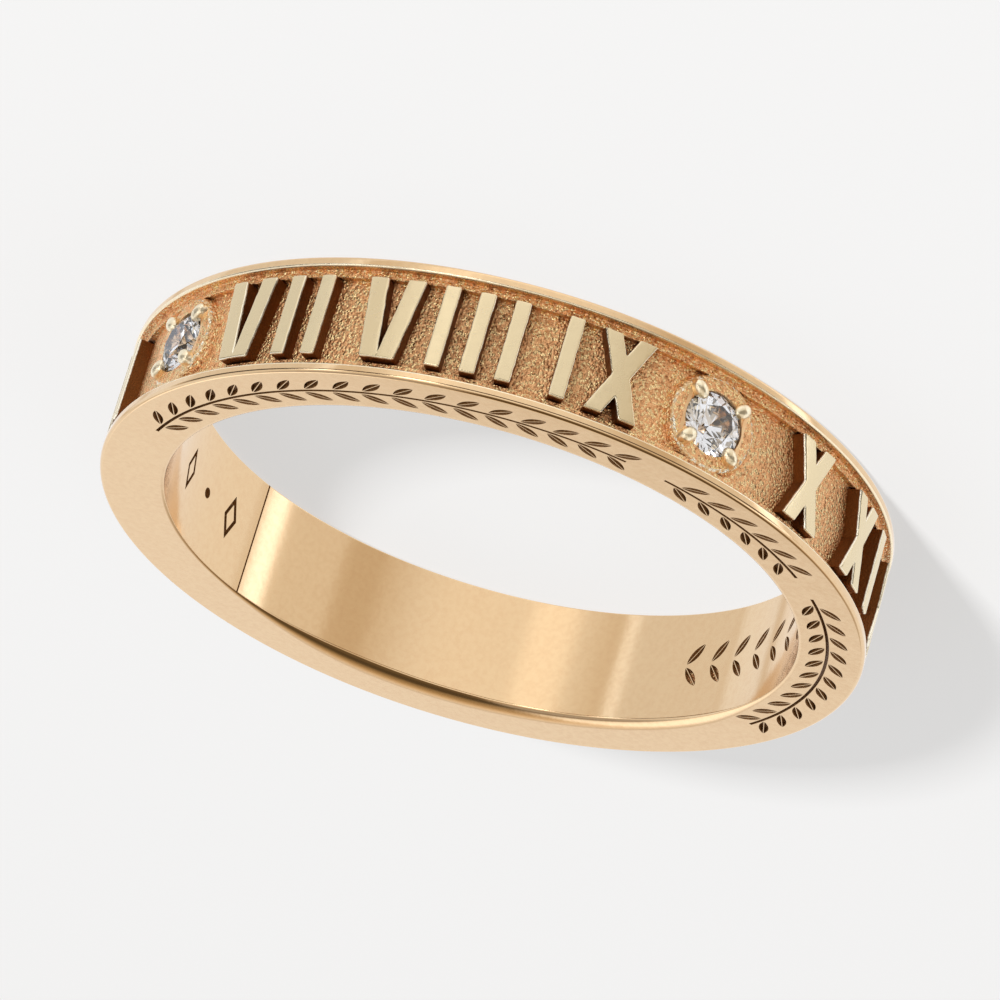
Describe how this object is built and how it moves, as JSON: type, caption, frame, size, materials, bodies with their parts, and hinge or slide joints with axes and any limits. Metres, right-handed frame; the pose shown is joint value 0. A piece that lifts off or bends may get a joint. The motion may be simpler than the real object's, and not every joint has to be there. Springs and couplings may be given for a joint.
{
  "type": "class ring",
  "caption": "Narrow gold finger ring with raised Roman numerals in a textured channel, round stones between the panels and engraved leaf branches on one side face.",
  "frame": {"origin": "centre of the ring's lower side face, in the plane that it rests on", "axes": "+Z along the ring's axis, towards the engraved side face; +X through stone_1, +Y through stone_2"},
  "size_m": [0.021, 0.021, 0.0034],
  "materials": {
    "gold": "polished yellow gold on rims, numerals, side faces and finger hole, sandblasted in the channel, dark in the engraving",
    "stone": "clear faceted round brilliant"
  },
  "bodies": {
    "root": {"band": "gold", "stone_1": "stone", "stone_2": "stone", "stone_3": "stone", "stone_4": "stone"}
  },
  "joints": []
}
